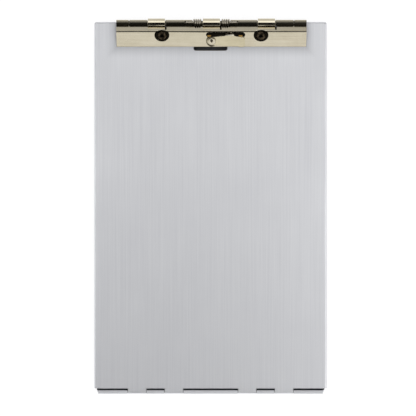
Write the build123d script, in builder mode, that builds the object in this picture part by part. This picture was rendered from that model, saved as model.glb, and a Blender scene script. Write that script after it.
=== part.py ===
"""Storage clipboard box: a shallow tray with a hinged writing plate and a spring clip.

Lies on its back. X is the width, Y the length with the clip at +Y, Z up from the
tray's underside. The origin is under the middle of the whole part. Sizes in mm.
"""

import math
import os

from build123d import *

os.makedirs("parts", exist_ok=True)

# ---------------------------------------------------------------- body sizes
body_width = 160.0  # over the lid's skirt, for a 143.9 mm wide form
body_length = 255.6  # lid's top edge to the hinge's outer face, for a 241.3 mm form
loop_overhang = 1.9  # the clip's loops past the lid's top edge
storage_depth = 12.7  # clear, between tray floor and lid
sheet = 0.8  # aluminium sheet
lid_skirt = 8.3  # height of the lid's turned-down sides
lid_bend = 1.5  # outer radius of the lid's folds
tray_play = 1.0  # lid's skirt to tray wall, each side
tray_corner = 3.0
tray_bend = 1.6
lid_rest = 0.1  # tray wall's top to the lid's underside

# ------------------------------------------------------------- lid's hinge
lid_rod_d = 1.6
rod_clear = 0.05  # radial, rod to every curl round it
curl_in = lid_rod_d / 2 + rod_clear
curl_out = curl_in + sheet
hinge_half = 77.1  # half the length of the row of knuckles
tab_width = 12.3
tab_centres = (-50.5, -25.2, 25.2, 50.5)
tab_gap = 0.35  # between a tab and the knuckle beside it
notch_gap = 0.5  # lid's straight edge to the tray's knuckles
wall_drop = 0.4  # tray wall below a lid tab
wall_step = 4.1  # length of the side walls' step down at the hinge
knuckle_turn = 260.0
tab_turn = 240.0

# ------------------------------------------------------------- clip sizes
clip_x = 0.6  # the clip sits this far right of the lid's middle
clip_rod_d = 2.8
base_sheet = 1.6
jaw_sheet = 0.7
rod_height = 4.46  # clip rod's axis above the writing plate
loop_pitch = 37.65
loop_width = 11.8
loop_gap = 0.3  # loop to jaw, sideways and outwards
ramp_angle = 40.0
loop_turn = 250.0
base_half = 48.5
base_back = 2.6  # base's back edge in front of the rod
base_front = 12.2  # base's front edge in front of the rod
base_relief = 1.8  # depth of the front edge's relief, under the latch's pivot
base_relief_half = 8.0
base_corner = 4.0
loop_in = clip_rod_d / 2 + rod_clear
loop_out = loop_in + base_sheet
jaw_in = loop_in
jaw_out = jaw_in + jaw_sheet
jaw_half = 65.1
rear_angle = 37.4  # rise of the jaw's rear band
front_angle = 37.2  # fall of the jaw's front band
crease_reach = 6.06  # crease in front of the rod
front_length = 12.62  # front band, along its slope
band_meets = 158.0  # where the rear band meets the barrels, from +Y over the top
lip_opening = 0.35  # between a barrel's free lip and the rear band
crease_round = 1.0
spring_bay = 13.0  # half the gap in the barrels for the springs and middle loop
seam_x = 56.45  # slit in the outer barrels
seam_width = 0.5
relief_width = 1.0  # bend relief right of each loop
relief_reach = 5.0

# ------------------------------------------- access holes, rivets, washers
access_d = 10.15
access_x = 33.9
access_drop = 3.25  # hole's centre below the crease, along the front band
rivet_reach = 8.6  # rivets in front of the rod
rivet_d = 4.0
rivet_head_d = 6.8
rivet_head = 1.0
rivet_tail_d = 5.2
rivet_tail = 0.7
hole_clear = 0.05
washer_d = 9.0
washer_sheet = 0.8

# --------------------------------------------------------------- the latch
slot_length = 26.7
slot_height = 4.2
slot_x = 9.7
slot_drop = 0.8  # crease to the slot's upper edge
pivot_x = 0.1
pivot_drop = 7.5
pivot_d = 3.0
pivot_head_d = 5.5
pivot_head = 0.8
pivot_tail_d = 3.8
pivot_tail = 0.6
pivot_washer_d = 5.5
pivot_washer = 0.5
lever_sheet = 0.8
lever_gap = 0.1  # lever to jaw, and rivet head to lever
lever_end_r = 3.3
prong_x0 = 9.3
prong_x1 = 14.8
prong_drop = 2.9  # crease to the prong's bend, at its left end
prong_slope = 8.8
prong_rise = 0.3  # the bend stands above the lever's upper edge
prong_depth = 2.0  # past the jaw's underside
beak = 0.5  # the bend's end runs on past the prong
beak_step = 1.4  # down from there to the shoulder
shoulder_drop = 4.7
shoulder_round = 2.5
heel_drop = 11.6
thumb_drop = 12.3
thumb_width = 4.2
thumb_rise = 0.5
thumb_round = 1.6

# -------------------------------------------------------------- the springs
wire = 1.0
coil_r = 2.35  # to the wire's middle
coil_pitch = 1.45
coil_x = 12.1  # outer end of the coil from the clip's middle
tang_angle = 80.0  # where the tang lies in the barrel's slot
tang_bend = 1.0
tang_r = 2.05  # the tang lies nearer the rod than the coil, inside the slot
tang_end = 17.4
tang_slot = 1.7
tang_slot_end = 18.3
leg_angle = -50.0
leg_length = 3.1
least_gap_allowed = 0.4

# --------------------------------------------------------- the cut-out
cutout_width = 23.2
cutout_front = 19.8  # below the lid's top edge
cutout_back = 14.4
cutout_corner = 1.4

# ------------------------------------------------------ derived positions
total_length = body_length + loop_overhang
y_hinge = -total_length / 2 + curl_out
y_front = y_hinge - curl_out
y_top = y_front + body_length
z_under = sheet + storage_depth
z_plate = z_under + sheet
z_hinge = z_plate - curl_out
y_notch = y_hinge + curl_out + notch_gap
tray_half = body_width / 2 - sheet - tray_play
y_tray_back = y_top - sheet - tray_play
z_wall = z_under - lid_rest
y_rod = y_top + loop_overhang - loop_out
z_rod = z_plate + rod_height


def polar(centre, radius, degrees):
    """Point at an angle on a circle, on a plane with Y across and Z up."""
    turn = math.radians(degrees)
    return (centre[0] + radius * math.cos(turn), centre[1] + radius * math.sin(turn))


hinge_axis = (y_hinge, z_hinge)
rod_axis = (y_rod, z_rod)
tab_spans = [(x - tab_width / 2, x + tab_width / 2) for x in tab_centres]
knuckle_edges = [-hinge_half]
for start, end in tab_spans:
    knuckle_edges += [start - tab_gap, end + tab_gap]
knuckle_edges.append(hinge_half)
knuckle_spans = list(zip(knuckle_edges[0::2], knuckle_edges[1::2]))

# ---------------------------------------------------------------- the tray
with BuildPart() as storage_tray:
    with BuildSketch():
        with Locations((0, (y_front + y_tray_back) / 2)):
            RectangleRounded(2 * tray_half, y_tray_back - y_front, tray_corner)
    extrude(amount=z_wall)
    fillet(storage_tray.faces().sort_by(Axis.Z)[0].edges(), tray_bend)
    offset(amount=-sheet, openings=storage_tray.faces().sort_by(Axis.Z)[-1])
    # the hinge wall stops at the rod's height, and lower under each lid tab
    with Locations((0, y_front, z_hinge)):
        Box(
            body_width,
            2 * wall_step,
            storage_depth,
            align=(Align.CENTER, Align.CENTER, Align.MIN),
            mode=Mode.SUBTRACT,
        )
    for start, end in tab_spans:
        with Locations(((start + end) / 2, y_front, z_hinge - curl_out - wall_drop)):
            Box(
                end - start + 2 * tab_gap,
                4 * sheet,
                storage_depth,
                align=(Align.CENTER, Align.CENTER, Align.MIN),
                mode=Mode.SUBTRACT,
            )
    # the rounded corners stop below the rod's ends
    for side in (-1, 1):
        with Locations((side * tray_half, y_front, z_hinge - curl_out)):
            Box(
                2 * tray_corner,
                2 * tray_corner,
                storage_depth,
                align=(Align.CENTER, Align.CENTER, Align.MIN),
                mode=Mode.SUBTRACT,
            )
    # knuckles: the wall runs up and curls inwards over the rod
    for start, end in knuckle_spans:
        with BuildSketch(Plane.YZ.offset(start)):
            with BuildLine():
                outer = CenterArc(hinge_axis, curl_out, 180, -knuckle_turn)
                lip = Line(outer @ 1, polar(hinge_axis, curl_in, 180 - knuckle_turn))
                inner = CenterArc(hinge_axis, curl_in, 180 - knuckle_turn, knuckle_turn)
                face = Line(inner @ 1, (y_hinge - curl_in, z_hinge - curl_out))
                foot = Line(face @ 1, (y_front, z_hinge - curl_out))
                Line(foot @ 1, outer @ 0)
            make_face()
        extrude(amount=end - start)
storage_tray.part.label = "storage_tray"
export_step(storage_tray.part, "parts/storage_tray.step")

with BuildPart() as lid_hinge_rod:
    with BuildSketch(Plane.YZ.offset(-hinge_half + lid_rod_d / 8)):
        with Locations(hinge_axis):
            Circle(lid_rod_d / 2)
    extrude(amount=2 * hinge_half - lid_rod_d / 4)
lid_hinge_rod.part.label = "lid_hinge_rod"
export_step(lid_hinge_rod.part, "parts/lid_hinge_rod.step")

# ------------------------------------------------------------ writing plate
rivet_spots = [(clip_x + side * access_x, y_rod - rivet_reach) for side in (-1, 1)]
with BuildPart() as writing_plate:
    with BuildSketch(Plane.XY.offset(z_plate - lid_skirt)):
        with Locations((0, (y_notch + y_top) / 2)):
            Rectangle(body_width, y_top - y_notch)
    extrude(amount=lid_skirt)
    top_face = writing_plate.faces().sort_by(Axis.Z)[-1]
    fold_edges = top_face.edges().sort_by(Axis.Y)[1:]
    corner_edges = writing_plate.edges().filter_by(Axis.Z).sort_by(Axis.Y)[-2:]
    fillet(fold_edges + corner_edges, lid_bend)
    bottom_face = writing_plate.faces().sort_by(Axis.Z)[0]
    hinge_face = writing_plate.faces().sort_by(Axis.Y)[0]
    offset(amount=-sheet, openings=[bottom_face, hinge_face])
    # tabs: the plate runs on and curls down round the rod
    for start, end in tab_spans:
        with BuildSketch(Plane.YZ.offset(start)):
            with BuildLine():
                skin = Line((y_notch + sheet, z_plate), (y_hinge, z_plate))
                outer = CenterArc(hinge_axis, curl_out, 90, tab_turn)
                lip = Line(outer @ 1, polar(hinge_axis, curl_in, 90 + tab_turn))
                inner = CenterArc(hinge_axis, curl_in, 90 + tab_turn, -tab_turn)
                belly = Line(inner @ 1, (y_notch + sheet, z_under))
                Line(belly @ 1, skin @ 0)
            make_face()
        extrude(amount=end - start)
    with BuildSketch(Plane.XY.offset(z_under - sheet)):
        with Locations((0, y_top - (cutout_front + cutout_back) / 2)):
            RectangleRounded(cutout_width, cutout_front - cutout_back, cutout_corner)
        with Locations(*rivet_spots):
            Circle(rivet_d / 2 + hole_clear)
    extrude(amount=3 * sheet, mode=Mode.SUBTRACT)
writing_plate.part.label = "writing_plate"
export_step(writing_plate.part, "parts/writing_plate.step")

# ------------------------------------------------------------ clip's base
slope = math.tan(math.radians(ramp_angle))
ramp_foot = polar(rod_axis, loop_out, ramp_angle - 90)
ramp_head = polar(rod_axis, loop_in, ramp_angle - 90)
foot_y = ramp_foot[0] - (ramp_foot[1] - z_plate) / slope
loop_root = y_rod - base_back - 2 * base_sheet
head_y = ramp_head[0] - (ramp_head[1] - z_plate - base_sheet) / slope
with BuildPart() as clip_base:
    with BuildSketch(Plane.XY.offset(z_plate)):
        with Locations((clip_x, y_rod - (base_back + base_front) / 2)):
            flat = Rectangle(2 * base_half, base_front - base_back)
        fillet(flat.vertices().group_by(Axis.Y)[0], base_corner)
        with Locations((clip_x, y_rod - base_front)):
            RectangleRounded(
                2 * base_relief_half,
                2 * base_relief,
                0.8 * base_relief,
                mode=Mode.SUBTRACT,
            )
        with Locations(*rivet_spots):
            Circle(rivet_d / 2 + hole_clear, mode=Mode.SUBTRACT)
    extrude(amount=base_sheet)
    # loops: the sheet ramps up behind the base and curls over the rod to the front
    for place in (-1, 0, 1):
        middle = clip_x + place * loop_pitch
        with BuildSketch(Plane.YZ.offset(middle - loop_width / 2)):
            with BuildLine():
                low = Line((loop_root, z_plate), (foot_y, z_plate))
                ramp = Line(low @ 1, ramp_foot)
                outer = CenterArc(rod_axis, loop_out, ramp_angle - 90, loop_turn)
                turned = ramp_angle - 90 + loop_turn
                lip = Line(outer @ 1, polar(rod_axis, loop_in, turned))
                inner = CenterArc(rod_axis, loop_in, turned, -loop_turn)
                back = Line(inner @ 1, (head_y, z_plate + base_sheet))
                deck = Line(back @ 1, (loop_root, z_plate + base_sheet))
                Line(deck @ 1, low @ 0)
            make_face()
        extrude(amount=loop_width)
clip_base.part.label = "clip_base"
export_step(clip_base.part, "parts/clip_base.step")

with BuildPart() as clip_hinge_rod:
    with BuildSketch(Plane.YZ.offset(clip_x - jaw_half + rod_clear)):
        with Locations(rod_axis):
            Circle(clip_rod_d / 2)
    extrude(amount=2 * (jaw_half - rod_clear))
    chamfer(clip_hinge_rod.edges(), clip_rod_d / 8)
clip_hinge_rod.part.label = "clip_hinge_rod"
export_step(clip_hinge_rod.part, "parts/clip_hinge_rod.step")

# ------------------------------------------------------------- clip's jaw
rise = math.radians(rear_angle)
fall = math.radians(front_angle)
rear_along = (-math.cos(rise), math.sin(rise))
rear_below = (-math.sin(rise), -math.cos(rise))
front_along = (-math.cos(fall), -math.sin(fall))
front_below = (math.sin(fall), -math.cos(fall))


def shifted(point, direction, distance):
    """Point moved along a direction, on a plane with Y across and Z up."""
    return (point[0] + direction[0] * distance, point[1] + direction[1] * distance)


meeting = polar(rod_axis, jaw_out, band_meets)
rear_run = (crease_reach - (y_rod - meeting[0])) / math.cos(rise)
crease = shifted(meeting, rear_along, rear_run)
half_fold = (rise + fall) / 2
fold_below = ((rear_below[0] + front_below[0]) / 2, (rear_below[1] + front_below[1]) / 2)
fold_length = math.hypot(*fold_below)
under_crease = shifted(crease, fold_below, jaw_sheet / math.cos(half_fold) / fold_length)
lip_top = shifted(crease, front_along, front_length)
lip_low = shifted(lip_top, front_below, jaw_sheet)
# the band's underside runs on to the barrel's outer circle, just below the meeting
under_start = shifted(under_crease, rear_along, -rear_run)
across = (under_start[0] - rod_axis[0], under_start[1] - rod_axis[1])
along = -(across[0] * rear_along[0] + across[1] * rear_along[1])
square = math.sqrt(jaw_out**2 - math.hypot(*across) ** 2 + along**2)
under_meeting = shifted(under_start, rear_along, along + square)
root_angle = math.degrees(
    math.atan2(under_meeting[1] - rod_axis[1], under_meeting[0] - rod_axis[0])
)
lip_angle = root_angle % 360 + math.degrees(lip_opening / jaw_in)

# X right, local Y up the slope, origin on the crease at the clip's middle
front_plane = Plane(
    origin=(clip_x, crease[0], crease[1]),
    x_dir=(1, 0, 0),
    z_dir=(0, -math.sin(fall), math.cos(fall)),
)
rear_plane = Plane(
    origin=(clip_x, crease[0], crease[1]),
    x_dir=(1, 0, 0),
    z_dir=(0, math.sin(rise), math.cos(rise)),
)
with BuildPart() as clip_jaw:
    with BuildSketch(Plane.YZ.offset(clip_x - jaw_half)) as jaw_profile:
        with BuildLine():
            front = Line(lip_top, crease)
            rear = Line(crease, meeting)
            outer = CenterArc(rod_axis, jaw_out, band_meets, lip_angle - 360 - band_meets)
            lip = Line(outer @ 1, polar(rod_axis, jaw_in, lip_angle))
            inner = CenterArc(rod_axis, jaw_in, lip_angle, root_angle % 360 + 360 - lip_angle)
            root = Line(inner @ 1, under_meeting)
            rear_under = Line(root @ 1, under_crease)
            front_under = Line(under_crease, lip_low)
            Line(lip_low, lip_top)
        make_face()
        corners = jaw_profile.vertices()
        fillet(corners.sort_by_distance((*crease, 0))[0], crease_round)
        corners = jaw_profile.vertices()
        fillet(corners.sort_by_distance((*under_crease, 0))[0], crease_round - jaw_sheet)
    extrude(amount=2 * jaw_half)
    # gaps in the barrels for the base's loops and for the springs
    for place in (-1, 0, 1):
        with Locations(Location((clip_x + place * loop_pitch, *rod_axis), (0, 90, 0))):
            Cylinder(loop_out + loop_gap, loop_width + 2 * loop_gap, mode=Mode.SUBTRACT)
    with Locations(Location((clip_x, *rod_axis), (0, 90, 0))):
        Cylinder(coil_r + wire / 2 + loop_gap, 2 * spring_bay, mode=Mode.SUBTRACT)
    # slits in the outer barrels
    for side in (-1, 1):
        with Locations(Location((clip_x + side * seam_x, *rod_axis), (0, 90, 0))):
            Cylinder(jaw_out + rod_clear, seam_width, mode=Mode.SUBTRACT)
    # bend reliefs right of each loop
    with BuildSketch(Plane.XY.offset(z_rod - loop_out)):
        for place in (-1, 0, 1):
            relief_x = clip_x + place * loop_pitch + (loop_width + relief_width) / 2
            with Locations((relief_x, y_rod - relief_reach / 2)):
                Rectangle(relief_width, relief_reach - relief_width)
            with Locations((relief_x, y_rod - relief_reach + relief_width / 2)):
                Circle(relief_width / 2)
    extrude(amount=2 * loop_out, mode=Mode.SUBTRACT)
    # access holes, punched flat and so bent over the crease with the sheet
    for side in (-1, 1):
        for bend_plane in (front_plane, rear_plane):
            with Locations(bend_plane.location * Location((side * access_x, -access_drop, 0))):
                Cylinder(access_d / 2, 3 * jaw_sheet, mode=Mode.SUBTRACT)
    # the latch's slot and pivot hole
    with BuildSketch(front_plane):
        with Locations((slot_x, -slot_drop - slot_height / 2)):
            SlotOverall(slot_length, slot_height)
        with Locations((pivot_x, -pivot_drop)):
            Circle(pivot_d / 2 + hole_clear)
    extrude(amount=jaw_sheet * 1.5, both=True, mode=Mode.SUBTRACT)
    # slots in the inner barrels for the springs' tangs
    for side in (-1, 1):
        tang_middle = clip_x + side * (spring_bay + tang_slot_end) / 2
        with Locations(Location((tang_middle, *rod_axis), (tang_angle - 90, 0, 0))):
            Box(
                tang_slot_end - spring_bay,
                tang_slot,
                2 * jaw_out,
                align=(Align.CENTER, Align.CENTER, Align.MIN),
                mode=Mode.SUBTRACT,
            )
clip_jaw.part.label = "clip_jaw"
export_step(clip_jaw.part, "parts/clip_jaw.step")

# ------------------------------------------------------------ clip springs


def helix_point(side, degrees):
    """Middle of the wire and its direction after turning back from the start angle."""
    turn = math.radians(coil_start - degrees)
    place = Vector(
        clip_x + side * (coil_x - coil_pitch * degrees / 360),
        y_rod + coil_r * math.cos(turn),
        z_rod + coil_r * math.sin(turn),
    )
    lead = coil_pitch / (2 * math.pi * coil_r)
    heading = Vector(-side * lead, math.sin(turn), -math.cos(turn)).normalized()
    return place, heading


def biarc(start, start_heading, end, end_heading):
    """Where two arcs meet that join two points along two directions."""
    chord = end - start
    total = start_heading + end_heading
    spread = 2 * (1 - start_heading.dot(end_heading))
    along = chord.dot(total)
    reach = (-along + math.sqrt(along**2 + spread * chord.dot(chord))) / spread
    return ((start + start_heading * reach) + (end - end_heading * reach)) * 0.5


def arc_points(start, heading, end, count):
    """Points along the arc that leaves start along heading and reaches end."""
    chord = end - start
    square = chord - heading * chord.dot(heading)
    if square.length < 1e-6:
        return [start + chord * (step / count) for step in range(count + 1)]
    square = square.normalized()
    radius = chord.dot(chord) / (2 * chord.dot(square))
    sweep_angle = 2 * math.atan2(chord.dot(square), chord.dot(heading))
    found = []
    for step in range(count + 1):
        turn = sweep_angle * step / count
        found.append(
            start + heading * (radius * math.sin(turn)) + square * (radius * (1 - math.cos(turn)))
        )
    return found


coil_start = tang_angle - math.degrees(math.atan(tang_bend / coil_r))
coil_degrees = coil_start - leg_angle + 3 * 360
half_turns = math.ceil(coil_degrees / 180)


def spring_stations(side):
    """The spring's tang, bend, coil and leg as points with directions."""
    outward = Vector(side, 0, 0)
    first, first_heading = helix_point(side, 0)
    corner = Vector(
        first.X,
        y_rod + tang_r * math.cos(math.radians(tang_angle)),
        z_rod + tang_r * math.sin(math.radians(tang_angle)),
    )
    stations = [(Vector(clip_x + side * tang_end, corner.Y, corner.Z), outward * -1)]
    stations.append((corner + outward * tang_bend, outward * -1))
    for step in range(half_turns + 1):
        stations.append(helix_point(side, coil_degrees * step / half_turns))
    last, last_heading = stations[-1]
    stations.append((last + last_heading * leg_length, last_heading))
    return stations


def least_gap(stations):
    """Smallest gap from the tube to itself, away from each point's own stretch."""
    points = []
    for (start, heading), (end, end_heading) in zip(stations, stations[1:]):
        middle = (start + end) * 0.5
        if (heading - end_heading).length > 1e-6:
            middle = biarc(start, heading, end, end_heading)
        points += arc_points(start, heading, middle, 12)
        turned = arc_points(end, end_heading * -1, middle, 12)
        points += turned[::-1]
    run = [0.0]
    for before, after in zip(points, points[1:]):
        run.append(run[-1] + (after - before).length)
    nearest = 1e9
    for first in range(len(points)):
        for second in range(first + 1, len(points)):
            if run[second] - run[first] > math.pi * coil_r:
                nearest = min(nearest, (points[second] - points[first]).length)
    return nearest - wire


right_stations = spring_stations(1)
left_stations = spring_stations(-1)
for name, stations in (("right", right_stations), ("left", left_stations)):
    gap = least_gap(stations)
    print(f"clip spring {name}: {coil_degrees / 360:.2f} turns, least gap {gap:.3f} mm")
    assert gap > least_gap_allowed, "the spring's turns lie too close"

with BuildPart() as clip_spring_right:
    with BuildLine() as right_path:
        for (start, heading), (end, end_heading) in zip(right_stations, right_stations[1:]):
            if (heading - end_heading).length < 1e-6:
                Line(start, end)
            else:
                middle = biarc(start, heading, end, end_heading)
                leaving = TangentArc(start, middle, tangent=heading)
                TangentArc(middle, end, tangent=leaving % 1)
    with BuildSketch(Plane(origin=right_stations[0][0], z_dir=right_stations[0][1])):
        Circle(wire / 2)
    sweep(path=right_path.line)
clip_spring_right.part.label = "clip_spring_right"
export_step(clip_spring_right.part, "parts/clip_spring_right.step")

with BuildPart() as clip_spring_left:
    with BuildLine() as left_path:
        for (start, heading), (end, end_heading) in zip(left_stations, left_stations[1:]):
            if (heading - end_heading).length < 1e-6:
                Line(start, end)
            else:
                middle = biarc(start, heading, end, end_heading)
                leaving = TangentArc(start, middle, tangent=heading)
                TangentArc(middle, end, tangent=leaving % 1)
    with BuildSketch(Plane(origin=left_stations[0][0], z_dir=left_stations[0][1])):
        Circle(wire / 2)
    sweep(path=left_path.line)
clip_spring_left.part.label = "clip_spring_left"
export_step(clip_spring_left.part, "parts/clip_spring_left.step")

# -------------------------------------------------- clip rivets and washers
z_base_top = z_plate + base_sheet
z_washer = z_under - washer_sheet
with BuildPart() as clip_rivets:
    with Locations(*[(x, y, z_base_top) for x, y in rivet_spots]):
        Cylinder(rivet_head_d / 2, rivet_head, align=(Align.CENTER, Align.CENTER, Align.MIN))
    fillet(clip_rivets.edges().group_by(Axis.Z)[-1], rivet_head * 0.7)
    with Locations(*[(x, y, z_washer - rivet_tail) for x, y in rivet_spots]):
        Cylinder(
            rivet_d / 2,
            z_base_top - z_washer + rivet_tail + rivet_head / 2,
            align=(Align.CENTER, Align.CENTER, Align.MIN),
        )
        Cylinder(rivet_tail_d / 2, rivet_tail, align=(Align.CENTER, Align.CENTER, Align.MIN))
    with Locations(*[(x, y, z_base_top + rivet_head) for x, y in rivet_spots]):
        Cone(rivet_d / 6, rivet_d / 3, 2 * rivet_head, mode=Mode.SUBTRACT)
clip_rivets.part.label = "clip_rivets"
export_step(clip_rivets.part, "parts/clip_rivets.step")

with BuildPart() as rivet_washers:
    with BuildSketch(Plane.XY.offset(z_washer)):
        with Locations(*rivet_spots):
            Circle(washer_d / 2)
            Circle(rivet_d / 2 + hole_clear, mode=Mode.SUBTRACT)
    extrude(amount=washer_sheet)
rivet_washers.part.label = "rivet_washers"
export_step(rivet_washers.part, "parts/rivet_washers.step")

# ---------------------------------------------------------------- the latch
tilt = math.radians(prong_slope)
bend_left = (prong_x0, -prong_drop)
bend_right = (prong_x1, -prong_drop + (prong_x1 - prong_x0) * math.tan(tilt))
beak_end = (bend_right[0] + beak, bend_right[1])
end_x = slot_x + slot_length / 2
thumb_x = end_x - thumb_width
with BuildPart() as latch_lever:
    with BuildSketch(front_plane.offset(lever_gap)) as lever_shape:
        with BuildLine():
            upper = Line(
                (pivot_x, -pivot_drop + lever_end_r), (bend_left[0], bend_left[1] - prong_rise)
            )
            step = Line(upper @ 1, bend_left)
            bend = Line(step @ 1, bend_right)
            tip = Line(bend @ 1, beak_end)
            drop = Line(tip @ 1, (beak_end[0] + beak, beak_end[1] - beak_step))
            shoulder = Line(drop @ 1, (end_x, -shoulder_drop))
            end = Line(shoulder @ 1, (end_x, -thumb_drop))
            thumb = Line(end @ 1, (thumb_x, -thumb_drop))
            thumb_side = Line(thumb @ 1, (thumb_x - thumb_rise, -thumb_drop + thumb_rise))
            heel = Line(thumb_side @ 1, (prong_x0, -heel_drop))
            lower = Line(heel @ 1, (pivot_x, -pivot_drop - lever_end_r))
            ThreePointArc(lower @ 1, (pivot_x - lever_end_r, -pivot_drop), upper @ 0)
        make_face()
        for corner, radius in (
            ((end_x, -shoulder_drop), shoulder_round),
            ((end_x, -thumb_drop), thumb_round),
        ):
            corners = lever_shape.vertices()
            fillet(corners.sort_by_distance((*corner, 0))[0], radius)
        with Locations((pivot_x, -pivot_drop)):
            Circle(pivot_d / 2 + hole_clear, mode=Mode.SUBTRACT)
    extrude(amount=lever_sheet)
    # prong: bent down from the upper edge, through the slot
    inward = (lever_sheet * math.sin(tilt), -lever_sheet * math.cos(tilt))
    with BuildSketch(front_plane.offset(lever_gap + lever_sheet)):
        with BuildLine():
            Polyline(
                bend_left,
                bend_right,
                (bend_right[0] + inward[0], bend_right[1] + inward[1]),
                (bend_left[0] + inward[0], bend_left[1] + inward[1]),
                close=True,
            )
        make_face()
    extrude(amount=-(lever_gap + lever_sheet + jaw_sheet + prong_depth))
    bend_spot = front_plane.from_local_coords(
        Vector(
            (bend_left[0] + bend_right[0]) / 2,
            (bend_left[1] + bend_right[1]) / 2,
            lever_gap + lever_sheet,
        )
    )
    fillet(latch_lever.edges().sort_by_distance(bend_spot)[0], prong_rise * 0.8)
latch_lever.part.label = "latch_lever"
export_step(latch_lever.part, "parts/latch_lever.step")

pivot_place = front_plane.location * Location((pivot_x, -pivot_drop, 0))
head_low = 2 * lever_gap + lever_sheet
tail_top = -jaw_sheet - pivot_washer
with BuildPart() as latch_rivet:
    with Locations(pivot_place * Location((0, 0, head_low))):
        Cylinder(pivot_head_d / 2, pivot_head, align=(Align.CENTER, Align.CENTER, Align.MIN))
    fillet(latch_rivet.edges().sort_by(Axis(front_plane.origin, front_plane.z_dir))[-1], pivot_head * 0.7)
    with Locations(pivot_place * Location((0, 0, tail_top - pivot_tail))):
        Cylinder(
            pivot_d / 2,
            head_low + pivot_head / 2 - tail_top + pivot_tail,
            align=(Align.CENTER, Align.CENTER, Align.MIN),
        )
        Cylinder(pivot_tail_d / 2, pivot_tail, align=(Align.CENTER, Align.CENTER, Align.MIN))
    with Locations(pivot_place * Location((0, 0, head_low + pivot_head))):
        Cone(pivot_d / 8, pivot_d / 3, pivot_head, mode=Mode.SUBTRACT)
latch_rivet.part.label = "latch_rivet"
export_step(latch_rivet.part, "parts/latch_rivet.step")

with BuildPart() as latch_washer:
    with BuildSketch(front_plane.offset(tail_top)):
        with Locations((pivot_x, -pivot_drop)):
            Circle(pivot_washer_d / 2)
            Circle(pivot_d / 2 + hole_clear, mode=Mode.SUBTRACT)
    extrude(amount=pivot_washer)
latch_washer.part.label = "latch_washer"
export_step(latch_washer.part, "parts/latch_washer.step")
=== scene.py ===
"""Looks of the storage clipboard box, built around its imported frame.

The lid and the tray are folded aluminium and the clip is pressed steel, so
these CAD nodes are shown through dressed copies, with their edges broken and
their faces shaded as folded metal. Node trees make the springs, the rivets and
the washers. Lengths in the classes are millimetres; Blender works in metres.
"""

import logging
import math
from dataclasses import dataclass
from enum import Enum

import bmesh
import bpy
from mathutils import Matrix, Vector


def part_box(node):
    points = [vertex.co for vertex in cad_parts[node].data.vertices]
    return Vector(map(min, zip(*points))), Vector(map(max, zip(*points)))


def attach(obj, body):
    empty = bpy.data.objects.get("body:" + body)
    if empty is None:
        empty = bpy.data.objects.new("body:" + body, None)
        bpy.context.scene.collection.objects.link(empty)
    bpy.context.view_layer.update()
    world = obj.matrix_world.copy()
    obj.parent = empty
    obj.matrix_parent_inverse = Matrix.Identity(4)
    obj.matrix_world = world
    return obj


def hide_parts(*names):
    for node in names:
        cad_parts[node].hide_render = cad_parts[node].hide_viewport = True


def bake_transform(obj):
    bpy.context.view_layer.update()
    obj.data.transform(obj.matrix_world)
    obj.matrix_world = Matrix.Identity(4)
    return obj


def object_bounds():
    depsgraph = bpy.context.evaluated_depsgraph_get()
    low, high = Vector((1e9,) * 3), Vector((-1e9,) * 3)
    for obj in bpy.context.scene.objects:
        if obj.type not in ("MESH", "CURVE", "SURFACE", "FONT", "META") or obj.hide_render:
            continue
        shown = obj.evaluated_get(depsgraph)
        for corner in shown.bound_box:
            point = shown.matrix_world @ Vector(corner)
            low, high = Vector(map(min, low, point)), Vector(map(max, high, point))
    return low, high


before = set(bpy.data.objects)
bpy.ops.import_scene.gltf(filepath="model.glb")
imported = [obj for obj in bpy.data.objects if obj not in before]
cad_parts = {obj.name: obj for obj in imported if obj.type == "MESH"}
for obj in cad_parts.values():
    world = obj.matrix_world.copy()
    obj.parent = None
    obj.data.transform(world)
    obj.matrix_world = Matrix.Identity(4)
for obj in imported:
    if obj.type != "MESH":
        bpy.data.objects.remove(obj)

logging.basicConfig(level=logging.INFO, format="%(message)s")
log = logging.getLogger("clipboard_box")

CAD_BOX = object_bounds()
MM = 0.001
MERGED = 0.002 * MM  # points nearer than this are one
# sizes of the clip that no node's box gives, in millimetres
CREASE_REACH = 6.06  # the jaw's fold in front of the rod
BASE_SHEET = 1.6
# half sizes that take in the whole body, in millimetres
ALL_ACROSS = 90.0
ALL_HIGH = 60.0

Span = tuple[float, float]
Triple = tuple[float, float, float]
Settings = dict[str, tuple[str, object]]


class Body(Enum):
    """The CAD bodies that the pieces ride on."""

    TRAY = "tray"
    LID = "lid"
    JAW = "jaw"
    LATCH = "latch"


class Slot(Enum):
    """The record's material slots."""

    TRAY_SHEET = "tray_sheet"
    PLATE_SHEET = "plate_sheet"
    CLIP_PLATING = "clip_plating"
    SPRING_WIRE = "spring_wire"
    ROD_STEEL = "rod_steel"
    RIVET_STEEL = "rivet_steel"


# ------------------------------------------------------------------ helpers


def colour(code: str) -> tuple[float, float, float, float]:
    """Turns an sRGB hex colour into the linear one that Blender uses.

    Args:
        code: six hex digits, with or without a leading #.

    Returns:
        Red, green, blue and an alpha of one.
    """
    digits = code.lstrip("#")
    channels = []
    for place in (0, 2, 4):
        value = int(digits[place : place + 2], 16) / 255
        channels.append(value / 12.92 if value <= 0.04045 else ((value + 0.055) / 1.055) ** 2.4)
    return (channels[0], channels[1], channels[2], 1.0)


def add_node(
    tree: bpy.types.NodeTree,
    kind: str,
    settings: dict[str, object] | None = None,
    inputs: dict[str | int, object] | None = None,
) -> bpy.types.Node:
    """Adds a node with its settings and links.

    Args:
        tree: the node tree it goes into.
        kind: the node's Blender type.
        settings: attributes of the node itself.
        inputs: a value, or an output to link, for each input by name or number.

    Returns:
        The new node.
    """
    node = tree.nodes.new(kind)
    for name, value in (settings or {}).items():
        setattr(node, name, value)
    for name, value in (inputs or {}).items():
        if isinstance(value, bpy.types.NodeSocket):
            tree.links.new(value, node.inputs[name])
        else:
            node.inputs[name].default_value = value
    return node


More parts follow.
